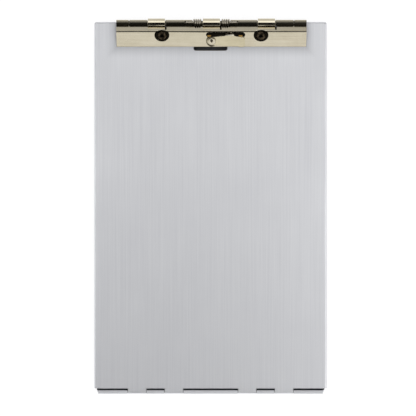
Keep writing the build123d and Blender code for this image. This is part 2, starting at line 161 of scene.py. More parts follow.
def in_metres(*lengths: float) -> Vector:
    """Turns millimetres into a Blender vector."""
    return Vector([length * MM for length in lengths])


def cleared(owner: bpy.types.Material | bpy.types.World) -> bpy.types.NodeTree:
    """Turns nodes on and takes the ones away that come with them.

    Args:
        owner: the material or world.

    Returns:
        Its empty tree.
    """
    owner.use_nodes = True
    owner.node_tree.nodes.clear()
    return owner.node_tree


def link_piece(mesh: bpy.types.Mesh) -> bpy.types.Object:
    """Puts a mesh into the scene as an object at the origin.

    Args:
        mesh: the mesh, whose name the object takes.

    Returns:
        The object.
    """
    piece = bpy.data.objects.new(mesh.name, mesh)
    bpy.context.scene.collection.objects.link(piece)
    return piece


def baked(piece: bpy.types.Object, name: str) -> bpy.types.Object:
    """Turns an object with modifiers into a plain one.

    Args:
        piece: the object, which is removed.
        name: the new object's name.

    Returns:
        An object with the evaluated mesh and no modifiers.
    """
    graph = bpy.context.evaluated_depsgraph_get()
    mesh = bpy.data.meshes.new_from_object(
        piece.evaluated_get(graph), preserve_all_data_layers=True, depsgraph=graph
    )
    old_mesh = piece.data
    bpy.data.objects.remove(piece)
    if old_mesh.users == 0:
        bpy.data.meshes.remove(old_mesh)
    mesh.name = name
    return link_piece(mesh)


def soften(shell: bmesh.types.BMesh, sharp_from: float) -> None:
    """Shades a shell smooth, apart from its corners.

    Args:
        shell: the shell.
        sharp_from: the least angle of a corner, in degrees.
    """
    limit = math.radians(sharp_from)
    for face in shell.faces:
        face.smooth = True
    for edge in shell.edges:
        edge.smooth = len(edge.link_faces) == 2 and edge.calc_face_angle() < limit


# ----------------------------------------------------------------- finishes


@dataclass(frozen=True)
class Zone:
    """A place on a metal with another tone and gloss, soft at its edge.

    Sizes are millimetres in the frame. With spokes the place is all that lies
    within half[0] of a line through the centre, and spokes are the two axes
    that the distance is measured in. Without them it is a box.
    """

    centre: Triple
    half: Triple
    shade: str
    roughness: float
    soft: float = 0.4
    spokes: Triple | None = None

    def mask(self, tree: bpy.types.NodeTree, place: bpy.types.NodeSocket) -> bpy.types.NodeSocket:
        """Adds the nodes that tell how far a point is inside.

        Args:
            tree: the material's tree.
            place: the point, in Object coordinates.

        Returns:
            One inside the place, nought outside.
        """
        centre, half = in_metres(*self.centre), in_metres(*self.half)
        offset = add_node(
            tree, "ShaderNodeVectorMath", {"operation": "SUBTRACT"}, {0: place, 1: centre}
        )
        if self.spokes:
            flat = add_node(
                tree,
                "ShaderNodeVectorMath",
                {"operation": "MULTIPLY"},
                {0: offset.outputs[0], 1: self.spokes},
            )
            length = add_node(
                tree, "ShaderNodeVectorMath", {"operation": "LENGTH"}, {0: flat.outputs[0]}
            )
            depth, edge = length.outputs["Value"], half.x
        else:
            size = add_node(
                tree, "ShaderNodeVectorMath", {"operation": "ABSOLUTE"}, {0: offset.outputs[0]}
            )
            over = add_node(
                tree,
                "ShaderNodeVectorMath",
                {"operation": "SUBTRACT"},
                {0: size.outputs[0], 1: half},
            )
            split = add_node(tree, "ShaderNodeSeparateXYZ", inputs={0: over.outputs[0]})
            depth, edge = split.outputs[0], 0.0
            for other in (split.outputs[1], split.outputs[2]):
                most = add_node(
                    tree, "ShaderNodeMath", {"operation": "MAXIMUM"}, {0: depth, 1: other}
                )
                depth = most.outputs["Value"]
        fade = add_node(
            tree,
            "ShaderNodeMapRange",
            {"interpolation_type": "SMOOTHSTEP"},
            {
                "Value": depth,
                "From Min": edge - self.soft * MM / 2,
                "From Max": edge + self.soft * MM / 2,
                "To Min": 1.0,
                "To Max": 0.0,
            },
        )
        return fade.outputs["Result"]


@dataclass(frozen=True)
class Metal:
    """A bare or plated metal with fine lines, cloudy patches, and zones of other tone and gloss:
    rubbed places, and painted shade, shadows and highlights.

    The line and patch sizes are millimetres: a line is line_width across and
    stretches as far as line_scale shrinks its axis.
    """

    name: str
    shade: str
    worn_shade: str
    roughness: float
    line_width: float = 0.7
    line_scale: Triple = (1.0, 1.0, 1.0)
    line_depth: float = 0.004
    patch: float = 7.0
    line_share: float = 0.5
    gloss_spread: float = 0.05
    zones: tuple[Zone, ...] = ()

    def material(self) -> bpy.types.Material:
        """Builds the node tree: lines and patches set the tone, gloss and relief.

        Returns:
            The material, named for the metal.
        """
        made = bpy.data.materials.new(self.name)
        tree = cleared(made)
        place = add_node(tree, "ShaderNodeTexCoord").outputs["Object"]
        along = add_node(
            tree, "ShaderNodeMapping", inputs={"Vector": place, "Scale": self.line_scale}
        )
        lines = add_node(
            tree,
            "ShaderNodeTexNoise",
            inputs={
                "Vector": along.outputs["Vector"],
                "Scale": 1 / (self.line_width * MM),
                "Detail": 3.0,
                "Roughness": 0.6,
            },
        )
        patches = add_node(
            tree,
            "ShaderNodeTexNoise",
            inputs={"Vector": place, "Scale": 1 / (self.patch * MM), "Detail": 3.0},
        )
        mixed = add_node(
            tree,
            "ShaderNodeMix",
            inputs={0: self.line_share, 2: patches.outputs["Fac"], 3: lines.outputs["Fac"]},
        ).outputs[0]
        spread = add_node(
            tree, "ShaderNodeMapRange", inputs={"Value": mixed, "From Min": 0.3, "From Max": 0.7}
        ).outputs["Result"]
        tone = add_node(
            tree,
            "ShaderNodeMix",
            {"data_type": "RGBA"},
            {0: spread, 6: colour(self.worn_shade), 7: colour(self.shade)},
        ).outputs[2]
        gloss = add_node(
            tree,
            "ShaderNodeMapRange",
            inputs={
                "Value": spread,
                "To Min": self.roughness + self.gloss_spread,
                "To Max": self.roughness - self.gloss_spread,
            },
        ).outputs["Result"]
        for zone in self.zones:
            inside = zone.mask(tree, place)
            tone = add_node(
                tree,
                "ShaderNodeMix",
                {"data_type": "RGBA"},
                {0: inside, 6: tone, 7: colour(zone.shade)},
            ).outputs[2]
            gloss = add_node(
                tree, "ShaderNodeMix", inputs={0: inside, 2: gloss, 3: zone.roughness}
            ).outputs[0]
        relief = add_node(
            tree,
            "ShaderNodeBump",
            inputs={
                "Height": lines.outputs["Fac"],
                "Distance": self.line_depth * MM,
                "Strength": 0.6,
            },
        )
        shader = add_node(
            tree,
            "ShaderNodeBsdfPrincipled",
            inputs={
                "Base Color": tone,
                "Roughness": gloss,
                "Normal": relief.outputs["Normal"],
                "Metallic": 1.0,
            },
        )
        add_node(tree, "ShaderNodeOutputMaterial", inputs={"Surface": shader.outputs["BSDF"]})
        return made


@dataclass(frozen=True)
class SatinAluminium(Metal):
    """Rolled aluminium sheet, its fine grain running along the body."""

    name: str = "satin_aluminium"
    shade: str = "#E8E9EC"
    worn_shade: str = "#DDDEE2"
    roughness: float = 0.38
    # the real grain is about 0.1 mm wide, drawn wider so that it shows
    line_width: float = 1.1
    line_scale: Triple = (1.0, 0.012, 1.0)
    patch: float = 45.0
    line_share: float = 0.65


@dataclass(frozen=True)
class BrightNickel(Metal):
    """Nickel plate over pressed steel: warm and mirror-like, faintly lined along X."""

    name: str = "bright_nickel"
    shade: str = "#D4CCB8"
    worn_shade: str = "#C6BDA5"
    roughness: float = 0.11
    line_width: float = 0.6
    line_scale: Triple = (0.02, 1.0, 1.0)
    patch: float = 12.0
    gloss_spread: float = 0.04


@dataclass(frozen=True)
class DrawnSteel(Metal):
    """Drawn or headed steel, darker and duller, with small patches of oil."""

    roughness: float = 0.3
    line_width: float = 1.6
    patch: float = 1.6
    line_depth: float = 0.01
    gloss_spread: float = 0.08


# ------------------------------------------------------- places in the frame


@dataclass(frozen=True)
class ClipPlaces:
    """Where the clip's features lie, read from the boxes of the CAD nodes."""

    middle_x: float
    rod_y: float
    rod_z: float
    crease_y: float
    lip_y: float
    pivot_x: float
    pivot_y: float
    plate_z: float
    base_top: float

    @classmethod
    def measured(cls) -> "ClipPlaces":
        """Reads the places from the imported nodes.

        Returns:
            The places, in millimetres.
        """
        rod = [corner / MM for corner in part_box("clip_hinge_rod")]
        jaw = [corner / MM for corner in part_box("clip_jaw")]
        pivot = [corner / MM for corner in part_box("latch_rivet")]
        base = [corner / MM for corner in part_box("clip_base")]
        rod_y, rod_z = (rod[0].y + rod[1].y) / 2, (rod[0].z + rod[1].z) / 2
        return cls(
            middle_x=(jaw[0].x + jaw[1].x) / 2,
            rod_y=rod_y,
            rod_z=rod_z,
            crease_y=rod_y - CREASE_REACH,
            lip_y=jaw[0].y,
            pivot_x=(pivot[0].x + pivot[1].x) / 2,
            pivot_y=(pivot[0].y + pivot[1].y) / 2,
            plate_z=base[0].z,
            base_top=base[0].z + BASE_SHEET,
        )


# ------------------------------------------------------------- sheet pieces


@dataclass
class SheetPiece:
    """A folded or pressed piece shown through a dressed copy of its CAD node."""

    node: str
    name: str
    body: Body
    slot: Slot
    edge_break: float = 0.1
    # angles in degrees: flat below the first, a sharp corner from the second,
    # and broken from the third
    flat_to: float = 0.5
    sharp_from: float = 32.0
    broken_from: float = 40.0

    def merged(self) -> bpy.types.Mesh:
        """Joins the node's loose triangles into flat faces.

        Returns:
            A closed mesh with its folds smooth and its corners sharp.
        """
        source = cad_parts[self.node].data
        source.calc_loop_triangles()
        mesh = bpy.data.meshes.new(self.name)
        mesh.from_pydata(
            [vertex.co for vertex in source.vertices],
            [],
            [tuple(triangle.vertices) for triangle in source.loop_triangles],
        )
        shell = bmesh.new()
        shell.from_mesh(mesh)
        bmesh.ops.remove_doubles(shell, verts=shell.verts, dist=MERGED)
        bmesh.ops.dissolve_degenerate(shell, dist=MERGED / 2, edges=shell.edges)
        bmesh.ops.dissolve_limit(
            shell, angle_limit=math.radians(self.flat_to), verts=shell.verts, edges=shell.edges
        )
        soften(shell, self.sharp_from)
        shell.to_mesh(mesh)
        shell.free()
        return mesh

    def build(self, material: bpy.types.Material) -> bpy.types.Object:
        """Makes the piece, breaks its edges and seats it on its body.

        Args:
            material: the finish it gets.

        Returns:
            The finished piece.
        """
        piece = link_piece(self.merged())
        rounding = piece.modifiers.new("edge_break", "BEVEL")
        rounding.width = self.edge_break * MM
        rounding.segments = 2
        rounding.limit_method = "ANGLE"
        rounding.angle_limit = math.radians(self.broken_from)
        rounding.use_clamp_overlap = False
        rounding.miter_outer = "MITER_ARC"
        flatten = piece.modifiers.new("flat_faces", "WEIGHTED_NORMAL")
        flatten.keep_sharp = True
        flatten.weight = 50
        piece = baked(piece, self.name)
        low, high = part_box(self.node)
        for vertex in piece.data.vertices:
            # the broken edges' mitres stay inside the node's box
            vertex.co = [min(max(vertex.co[i], low[i]), high[i]) for i in range(3)]
        piece.data.materials.clear()
        piece.data.materials.append(material)
        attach(piece, self.body.value)
        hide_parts(self.node)
        return piece


# ------------------------------------------------- pieces made by node trees


class NodePiece:
    """A piece whose mesh a geometry node tree makes from a small template."""

    def settings(self) -> Settings:
        """The tree's inputs: their kinds and values."""
        raise NotImplementedError

    def started(self, title: str) -> bpy.types.NodeTree:
        """Starts a tree with its geometry, its named inputs and its output.

        Args:
            title: the tree's name.

        Returns:
            The tree, without nodes as yet.
        """
        tree = bpy.data.node_groups.new(title, "GeometryNodeTree")
        ports = tree.interface
        ports.new_socket("Geometry", in_out="INPUT", socket_type="NodeSocketGeometry")
        for name, (kind, value) in self.settings().items():
            ports.new_socket(name, in_out="INPUT", socket_type=kind).default_value = value
        ports.new_socket("Geometry", in_out="OUTPUT", socket_type="NodeSocketGeometry")
        return tree

    def ended(
        self, tree: bpy.types.NodeTree, shape: bpy.types.NodeSocket, material: bpy.types.Material
    ) -> bpy.types.NodeTree:
        """Ends a tree: instances made real, the material set.

        Args:
            tree: the tree.
            shape: the geometry that its own nodes make.
            material: the piece's only material.

        Returns:
            The same tree.
        """
        real = add_node(tree, "GeometryNodeRealizeInstances", inputs={"Geometry": shape})
        dressed = add_node(
            tree,
            "GeometryNodeSetMaterial",
            inputs={"Geometry": real.outputs["Geometry"], "Material": material},
        )
        add_node(tree, "NodeGroupOutput", inputs={"Geometry": dressed.outputs["Geometry"]})
        return tree

    def grown(
        self,
        name: str,
        template: bpy.types.Mesh,
        tree: bpy.types.NodeTree,
        material: bpy.types.Material,
    ) -> bpy.types.Object:
        """Runs the tree on a template and keeps the plain mesh.

        Args:
            name: the finished piece's name.
            template: what goes into the tree.
            tree: the tree.
            material: the piece's only material.

        Returns:
            The finished object, with no modifier left.
        """
        source = link_piece(template)
        grow = source.modifiers.new(tree.name, "NODES")
        grow.node_group = tree
        found = {item.name: item.identifier for item in tree.interface.items_tree}
        for setting, (_, value) in self.settings().items():
            grow[found[setting]] = value
        piece = baked(source, name)
        piece.data.materials.clear()
        piece.data.materials.append(material)
        for face in piece.data.polygons:
            face.material_index = 0
        return piece


@dataclass
class ClipSpring(NodePiece):
    """One torsion spring on the clip's rod: tang, coil and leg in one wire."""

    side: int
    places: ClipPlaces
    wire: float = 1.0
    coil_radius: float = 2.35
    pitch: float = 1.45
    coil_end: float = 12.1
    tang_angle: float = 80.0
    tang_radius: float = 2.05
    tang_bend: float = 1.0
    tang_end: float = 17.4
    leg_angle: float = -50.0
    leg_length: float = 3.1
    wound_from: float = 7.5  # the leg's end of the part that winds up
    turns: int = 3
    steps: int = 30
    bend_steps: int = 8
    sides: int = 14

    def point(self, out: float, radius: float, degrees: float) -> Vector:
        """Finds a point from its distances and its angle round the clip's rod.

        Args:
            out: distance from the clip's middle, towards the spring's own side.
            radius: distance from the rod's axis.
            degrees: angle round the rod, from straight behind the clip over the top.

        Returns:
            The point, in millimetres.
        """
        turn = math.radians(degrees)
        return Vector(
            (
                self.places.middle_x + self.side * out,
                self.places.rod_y + radius * math.cos(turn),
                self.places.rod_z + radius * math.sin(turn),
            )
        )

    def route(self) -> list[Vector]:
        """The wire's middle line, from the tang in the barrel to the leg on the base.

        Returns:
            Points in millimetres.
        """
        start = self.tang_angle - math.degrees(math.atan(self.tang_bend / self.coil_radius))
        whole = start - self.leg_angle + 360 * self.turns
        count = round(self.steps * whole / 360)

        def coil(share: float) -> Vector:
            """The point at a share of the coil, from its outer end."""
            degrees = whole * share
            return self.point(
                self.coil_end - self.pitch * degrees / 360, self.coil_radius, start - degrees
            )

        outward = Vector((self.side, 0, 0))
        knee = self.point(self.coil_end, self.tang_radius, self.tang_angle)
        tang = knee + outward * self.tang_bend
        first, heading = coil(0), (coil(0.001) - coil(0)).normalized()
        reach = (first - tang).length
        bend = []
        # a cubic bend, each handle 0.4 of the way across
        inner, outer = tang - outward * reach * 0.4, first - heading * reach * 0.4
        for step in range(1, self.bend_steps):
            share = step / self.bend_steps
            back = 1 - share
            bend.append(
                tang * back**3
                + inner * 3 * back**2 * share
                + outer * 3 * back * share**2
                + first * share**3
            )
        last, leaving = coil(1), (coil(1) - coil(0.999)).normalized()
        run = [self.point(self.tang_end, self.tang_radius, self.tang_angle), tang, *bend]
        run += [coil(step / count) for step in range(count + 1)]
        run.append(last + leaving * self.leg_length)
        return run

    def tree(self, material: bpy.types.Material) -> bpy.types.NodeTree:
        """Builds the tree that lays a round wire along the template's edges.

        Args:
            material: the wire's material.

        Returns:
            The tree.
        """
        tree = self.started("wire_along_path")
        feed = add_node(tree, "NodeGroupInput").outputs
        line = add_node(tree, "GeometryNodeMeshToCurve", inputs={"Mesh": feed["Geometry"]})
        ring = add_node(
            tree,
            "GeometryNodeCurvePrimitiveCircle",
            inputs={"Resolution": feed["Sides"], "Radius": feed["Wire Radius"]},
        )
        tube = add_node(
            tree,
            "GeometryNodeCurveToMesh",
            inputs={
                "Curve": line.outputs["Curve"],
                "Profile Curve": ring.outputs["Curve"],
                "Fill Caps": True,
            },
        )
        return self.ended(tree, tube.outputs["Mesh"], material)

    def settings(self) -> Settings:
        """The tree's inputs: their kinds and values."""
        return {
            "Wire Radius": ("NodeSocketFloat", self.wire / 2 * MM),
            "Sides": ("NodeSocketInt", self.sides),
        }

    def build(self, material: bpy.types.Material) -> bpy.types.Object:
        """Makes the spring in its place between the base and the jaw.

        Args:
            material: the wire's material.

        Returns:
            The finished spring.
        """
        name = "right" if self.side > 0 else "left"
        route = self.route()
        template = bpy.data.meshes.new(f"spring_route_{name}")
        edges = [(number, number + 1) for number in range(len(route) - 1)]
        template.from_pydata([point * MM for point in route], edges, [])
        piece = self.grown(f"spring_coil_{name}", template, self.tree(material), material)
        for face in piece.data.polygons:
            face.use_smooth = len(face.vertices) == 4
        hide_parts(f"clip_spring_{name}")
        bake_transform(piece)
        return piece


@dataclass
class RivetRow(NodePiece):
    """Turned fasteners in a row: the same profile set down at equal steps."""

    name: str
    node: str
    slot: Slot
    profile: tuple[Span, ...]
    first: Triple
    step: float
    count: int = 2
    segments: int = 40
    sharp_from: float = 40.0

    def template(self) -> bpy.types.Mesh:
        """Turns the profile of radius and height about Z.

        The profile runs outwards on top and inwards below. It ends on the axis
        at both ends, or where it starts.

        Returns:
            The fastener's mesh, in metres, closed and facing outwards.
        """
        closed = self.profile[0] == self.profile[-1]
        points: list[Vector] = []
        rings: list[list[int]] = []
        for radius, height in self.profile[:-1] if closed else self.profile:
            count = self.segments if radius > 0 else 1
            rings.append([len(points) + place for place in range(count)])
            turns = [math.tau * place / count for place in range(count)]
            points += [
                in_metres(radius * math.cos(turn), radius * math.sin(turn), height)
                for turn in turns
            ]
        faces = []
        for inner, outer in zip(rings, rings[1:] + rings[:1] if closed else rings[1:]):
            for place in range(self.segments):
                here, there = place, (place + 1) % self.segments
                corners = [(inner, here), (outer, here), (outer, there), (inner, there)]
                # a ring on the axis is one point, which a face holds only once
                faces.append(tuple(dict.fromkeys(ring[spot % len(ring)] for ring, spot in corners)))
        mesh = bpy.data.meshes.new(f"{self.name}_turned")
        mesh.from_pydata(points, [], faces)
        shell = bmesh.new()
        shell.from_mesh(mesh)
        soften(shell, self.sharp_from)
        shell.to_mesh(mesh)
        shell.free()
        return mesh

    def settings(self) -> Settings:
        """The tree's inputs: their kinds and values."""
        return {
            "Count": ("NodeSocketInt", self.count),
            "First Place": ("NodeSocketVector", in_metres(*self.first)),
            "Step": ("NodeSocketVector", in_metres(self.step, 0, 0)),
        }

    def tree(self, material: bpy.types.Material) -> bpy.types.NodeTree:
        """Builds the tree that sets the template down at equal steps.

        Args:
            material: the fasteners' material.

        Returns:
            The tree.
        """
        tree = self.started("rivet_row")
        feed = add_node(tree, "NodeGroupInput").outputs
        row = add_node(
            tree,
            "GeometryNodeMeshLine",
            {"mode": "OFFSET"},
            {"Count": feed["Count"], "Start Location": feed["First Place"], "Offset": feed["Step"]},
        )
        copies = add_node(
            tree,
            "GeometryNodeInstanceOnPoints",
            inputs={"Points": row.outputs["Mesh"], "Instance": feed["Geometry"]},
        )
        return self.ended(tree, copies.outputs["Instances"], material)

    def build(self, material: bpy.types.Material) -> bpy.types.Object:
        """Makes the row and seats it on the lid.

        Args:
            material: the fasteners' material.

        Returns:
            The finished row.
        """
        piece = self.grown(self.name, self.template(), self.tree(material), material)
        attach(piece, Body.LID.value)
        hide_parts(self.node)
        return piece


# ------------------------------------------------------------------- studio


@dataclass(frozen=True)
class Card:
    """A curved card over the clip that only metal sees.

    It starts and ends at the two turns, in degrees from straight up, plus
    behind the clip, and at the two reaches along X, in millimetres from the
    clip. A strength of one is as bright as the white studio.
    """

    name: str
    turn: Span
    reach: Span
    strength: float


@dataclass
class Studio:
    """Camera, floor, soft light and the dark cards that metal reflects."""

    camera_place: Triple = (-1.75, -1.05, 1601.2)
    lens: float = 200.0
    sensor: float = 36.0
    sight: Span = (50.0, 20000.0)
    floor_size: float = 6000.0
    floor_height: float = -0.02
    floor_glow: float = 0.78
    world_light: float = 0.9
    card_radius: float = 1900.0
    card_middle: Triple = (0.6, 119.0, 20.0)
    card_rows: int = 12
    left_end: float = -2500.0
    right_end: float = 2500.0

    def cards(self) -> tuple[Card, ...]:
        """Lists what the metal sees round the clip.

        Returns:
            The cards, none of which overlaps another.
        """
        left, right = self.left_end, self.right_end
        return (
            Card("black_card", (-67.0, 4.0), (-190.0, 170.0), 0.01),
            Card("soft_card", (4.0, 58.0), (-210.0, 200.0), 1.5),
            Card("grey_card", (58.0, 96.0), (left, right), 0.6),
            Card("left_card", (6.0, 58.0), (left, -230.0), 0.12),
            Card("right_card", (6.0, 58.0), (220.0, right), 0.3),
            Card("middle_card_left", (-10.0, 6.0), (left, -260.0), 1.7),
            Card("middle_card_right", (-10.0, 6.0), (240.0, right), 1.7),
            Card("front_card_left", (-60.0, -10.0), (left, -260.0), 0.12),
            Card("front_card_right", (-60.0, -10.0), (240.0, right), 1.0),
        )

    def camera(self) -> None:
        """Looks straight down, as the photograph does."""
        data = bpy.data.cameras.new("top_camera")
        data.lens = self.lens
        data.sensor_width = self.sensor
        data.clip_start, data.clip_end = (distance * MM for distance in self.sight)
        camera = bpy.data.objects.new("top_camera", data)
        camera.location = in_metres(*self.camera_place)
        bpy.context.scene.collection.objects.link(camera)
        bpy.context.scene.camera = camera

    def seen_as_white(self, tree: bpy.types.NodeTree) -> bpy.types.NodeSocket:
        """Adds the nodes that tell the rays which see the background.

        Args:
            tree: the floor's or the world's tree.

        Returns:
            One for camera, glossy and transmission rays, nought for the rest.
        """
        rays = add_node(tree, "ShaderNodeLightPath")
        seen = rays.outputs["Is Camera Ray"]
        for other in ("Is Glossy Ray", "Is Transmission Ray"):
            both = add_node(
                tree,
                "ShaderNodeMath",
                {"operation": "MAXIMUM"},
                {0: seen, 1: rays.outputs[other]},
            )
            seen = both.outputs["Value"]
        return seen

    def floor(self) -> None:
        """White paper floor that keeps a soft shadow."""
        half = self.floor_size / 2
        mesh = bpy.data.meshes.new("paper_floor")
        corners = [(-half, -half), (half, -half), (half, half), (-half, half)]
        mesh.from_pydata(
            [in_metres(x, y, self.floor_height) for x, y in corners], [], [(0, 1, 2, 3)]
        )
        floor = link_piece(mesh)
        made = bpy.data.materials.new("white_paper")
        tree = cleared(made)
        seen = self.seen_as_white(tree)
        glow = add_node(
            tree,
            "ShaderNodeEmission",
            inputs={"Color": (1, 1, 1, 1), "Strength": self.floor_glow},
        )
        dark = add_node(tree, "ShaderNodeEmission", inputs={"Strength": 0.0})
        lit = add_node(
            tree, "ShaderNodeMixShader", inputs={0: seen, 1: dark.outputs[0], 2: glow.outputs[0]}
        )
        paper = add_node(tree, "ShaderNodeBsdfDiffuse", inputs={"Color": colour("#9C9C9C")})
        both = add_node(
            tree, "ShaderNodeAddShader", inputs={0: lit.outputs[0], 1: paper.outputs[0]}
        )
        add_node(tree, "ShaderNodeOutputMaterial", inputs={"Surface": both.outputs[0]})
        floor.data.materials.append(made)

    def world(self) -> None:
        """White all round, softer where it only lights the scene."""
        world = bpy.data.worlds.new("studio")
        bpy.context.scene.world = world
        tree = cleared(world)
        seen = self.seen_as_white(tree)
        white = (1, 1, 1, 1)
        soft, clear = (
            add_node(tree, "ShaderNodeBackground", inputs={"Color": white, "Strength": strength})
            for strength in (self.world_light, 1.0)
        )
        mixed = add_node(
            tree, "ShaderNodeMixShader", inputs={0: seen, 1: soft.outputs[0], 2: clear.outputs[0]}
        )
        add_node(tree, "ShaderNodeOutputWorld", inputs={"Surface": mixed.outputs[0]})

    def hang(self, card: Card) -> None:
        """Hangs one of the cards.

        Args:
            card: what it is called, where it hangs and how bright it is.
        """
        mesh = bpy.data.meshes.new(card.name)
        middle_x, middle_y, middle_z = self.card_middle
        start, end = card.turn
        points = []
        for row in range(self.card_rows + 1):
            angle = math.radians(start + (end - start) * row / self.card_rows)
            y = middle_y + self.card_radius * math.sin(angle)
            z = middle_z + self.card_radius * math.cos(angle)
            points += [in_metres(middle_x + reach, y, z) for reach in card.reach]
        faces = [
            (2 * row, 2 * row + 1, 2 * row + 3, 2 * row + 2) for row in range(self.card_rows)
        ]
        mesh.from_pydata(points, [], faces)
        hung = link_piece(mesh)
        made = bpy.data.materials.new(card.name)
        tree = cleared(made)
        glow = add_node(
            tree,
            "ShaderNodeEmission",
            inputs={"Color": (1, 1, 1, 1), "Strength": card.strength},
        )
        add_node(tree, "ShaderNodeOutputMaterial", inputs={"Surface": glow.outputs[0]})
        hung.data.materials.append(made)
        hung.visible_camera = False
        hung.visible_diffuse = False
        hung.visible_shadow = False
        hung.visible_transmission = False

    def build(self) -> None:
        """Sets up everything that isn't the object."""
        self.camera()
        self.floor()
        self.world()
        for card in self.cards():
            self.hang(card)
        bpy.context.scene.view_settings.view_transform = "Standard"


# ------------------------------------------------------------ sub-assemblies


@dataclass
class FormTray:
    """The pan that holds the forms, with the hinge's rod through its knuckles."""

    # the inside, from the walls' inner faces down to half the floor's sheet
    half_width: float = 77.8
    half_length: float = 125.0
    behind_middle: float = -0.3
    floor: float = 0.4
    # the hinge, measured back from the pan's front
    gap_reach: float = 3.12
    gap_half: float = 0.55
    gap_height: Span = (12.0, 4.0)  # its middle and its half
    knuckle_reach: float = 1.0
    knuckle_half: float = 1.9
    knuckle_height: Span = (14.0, 2.2)

    def build(self) -> list[bpy.types.Object]:
        """Makes the pan, with painted shade inside it and in its hinge gap, and the rod.

        Returns:
            The two pieces.
        """
        front = CAD_BOX[0].y / MM
        half_height = ALL_HIGH / 2
        # painted shade: the pan's inside is darker and duller, as shade in a shut box
        inside = Zone(
            (0, self.behind_middle, self.floor + half_height),
            (self.half_width, self.half_length, half_height),
            "#7A7C7F",
            0.6,
            0.5,
        )
        gap_z, gap_half_z = self.gap_height
        # painted shade: the hinge gap between the lid and the knuckles is near black
        hinge_gap_shade = Zone(
            (0, front + self.gap_reach, gap_z),
            (ALL_ACROSS, self.gap_half, gap_half_z),
            "#1A1B1D",
            0.5,
            0.3,
        )
        knuckle_z, knuckle_half_z = self.knuckle_height
        rubbed = Zone(
            (0, front + self.knuckle_reach, knuckle_z),
            (ALL_ACROSS, self.knuckle_half, knuckle_half_z),
            "#E2E3E6",
            0.7,
            0.6,
        )
        pan = SatinAluminium(name="tray_aluminium", zones=(inside, rubbed, hinge_gap_shade))
        rod = DrawnSteel("rod_steel", "#8C8C8C", "#747474")
        return [
            SheetPiece("storage_tray", "tray_pan", Body.TRAY, Slot.TRAY_SHEET).build(
                pan.material()
            ),
            SheetPiece("lid_hinge_rod", "lid_rod", Body.TRAY, Slot.ROD_STEEL).build(
                rod.material()
            ),
        ]


